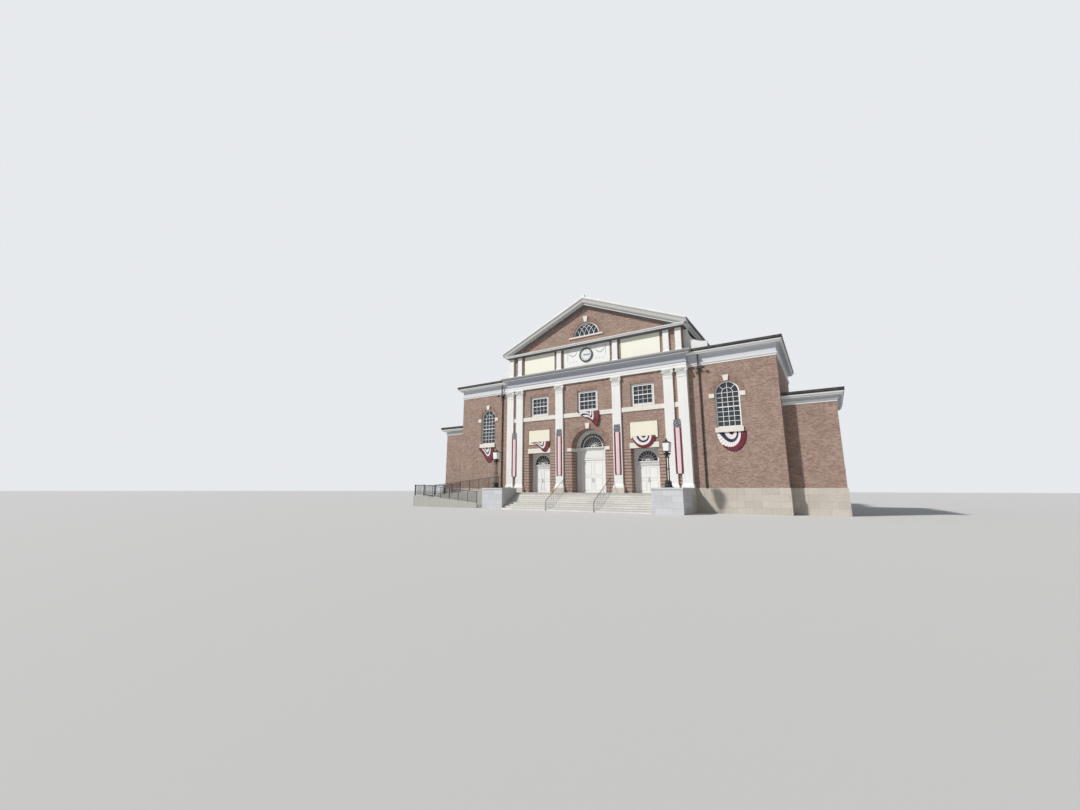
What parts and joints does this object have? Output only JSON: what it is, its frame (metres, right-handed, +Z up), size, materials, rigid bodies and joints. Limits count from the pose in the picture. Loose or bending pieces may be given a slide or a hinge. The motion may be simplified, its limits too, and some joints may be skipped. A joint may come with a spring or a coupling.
{
  "type": "town hall building",
  "caption": "Brick town hall with a pilastered temple front, arched entrance, attic clock, gabled pediment, two lower wings, granite steps and a side ramp.",
  "frame": {"origin": "ground level, under the middle of the centre block's brick face", "axes": "+X along the front towards its right end seen from the street, +Y into the building, +Z up"},
  "size_m": [39.15, 28.335, 20.0307],
  "materials": {
    "brick": "matte",
    "granite": "matte",
    "concrete": "matte",
    "white_trim": "satin",
    "white_stone": "matte",
    "cream_stone": "matte",
    "door_paint": "satin",
    "roof": "matte",
    "gutter_paint": "satin",
    "glass": "gloss",
    "clock_white": "satin",
    "clock_dark": "satin",
    "iron": "satin",
    "lantern_glass": "gloss",
    "cloth": "matte",
    "hinge_steel": "satin"
  },
  "bodies": {
    "building": {"stone_base": "granite", "ground_floor": "concrete", "upper_floor": "concrete", "landing": "granite", "front_steps": "granite", "cheek_walls": "granite", "front_piers": "brick", "doorway_heads": "brick", "arch_wall": "brick", "upper_front_wall": "brick", "attic_wall": "brick", "front_gable": "brick", "hall_side_walls": "brick", "hall_rear_wall": "brick", "wing_front_walls": "brick", "wing_side_walls": "brick", "wing_rear_walls": "brick", "annex_front_walls": "brick", "annex_side_walls": "brick", "annex_rear_walls": "brick", "pilasters": "white_trim", "pilaster_capitals": "white_trim", "pilaster_plinths": "granite", "entablature": "white_trim", "low_cornices": "white_trim", "attic_pilasters": "white_trim", "painted_panels": "cream_stone", "clock_face": "clock_white", "clock_ring": "clock_dark", "pediment_cornice": "white_trim", "raking_cornice": "white_trim", "scroll_parapets": "white_trim", "belt_course": "white_stone", "stone_dressings": "white_stone", "main_roof": "roof", "wing_roofs": "roof", "annex_roofs": "roof", "gutters": "gutter_paint", "downspouts": "gutter_paint", "sash_frames": "white_trim", "arched_frames": "white_trim", "sash_glass": "glass", "arched_glass": "glass", "main_doorcase": "white_trim", "side_doorcases": "white_trim", "fanlight_glass": "glass", "lamp_standards": "iron", "lamp_lanterns": "lantern_glass", "step_handrails": "iron", "ramp": "granite", "ramp_railings": "iron", "hung_banners": "cloth", "fan_bunting": "cloth", "door_hinges": "hinge_steel"},
    "main_door_left": {"main_door_left": "door_paint"},
    "main_door_right": {"main_door_right": "door_paint"},
    "left_door_left": {"left_door_left": "door_paint"},
    "left_door_right": {"left_door_right": "door_paint"},
    "right_door_left": {"right_door_left": "door_paint"},
    "right_door_right": {"right_door_right": "door_paint"}
  },
  "joints": [
    {"name": "main_door_left_hinge", "type": "hinge", "parent": "building", "child": "main_door_left", "pos_m": [-1.1, 1.01, 1.493], "axis": [0, 0, -1], "range_deg": [0, 90]},
    {"name": "main_door_right_hinge", "type": "hinge", "parent": "building", "child": "main_door_right", "pos_m": [1.1, 1.01, 1.493], "axis": [0, 0, 1], "range_deg": [0, 90]},
    {"name": "left_door_left_hinge", "type": "hinge", "parent": "building", "child": "left_door_left", "pos_m": [-6.27, 0.71, 1.493], "axis": [0, 0, -1], "range_deg": [0, 90]},
    {"name": "left_door_right_hinge", "type": "hinge", "parent": "building", "child": "left_door_right", "pos_m": [-4.27, 0.71, 1.493], "axis": [0, 0, 1], "range_deg": [0, 90]},
    {"name": "right_door_left_hinge", "type": "hinge", "parent": "building", "child": "right_door_left", "pos_m": [4.27, 0.71, 1.493], "axis": [0, 0, -1], "range_deg": [0, 90]},
    {"name": "right_door_right_hinge", "type": "hinge", "parent": "building", "child": "right_door_right", "pos_m": [6.27, 0.71, 1.493], "axis": [0, 0, 1], "range_deg": [0, 90]}
  ]
}
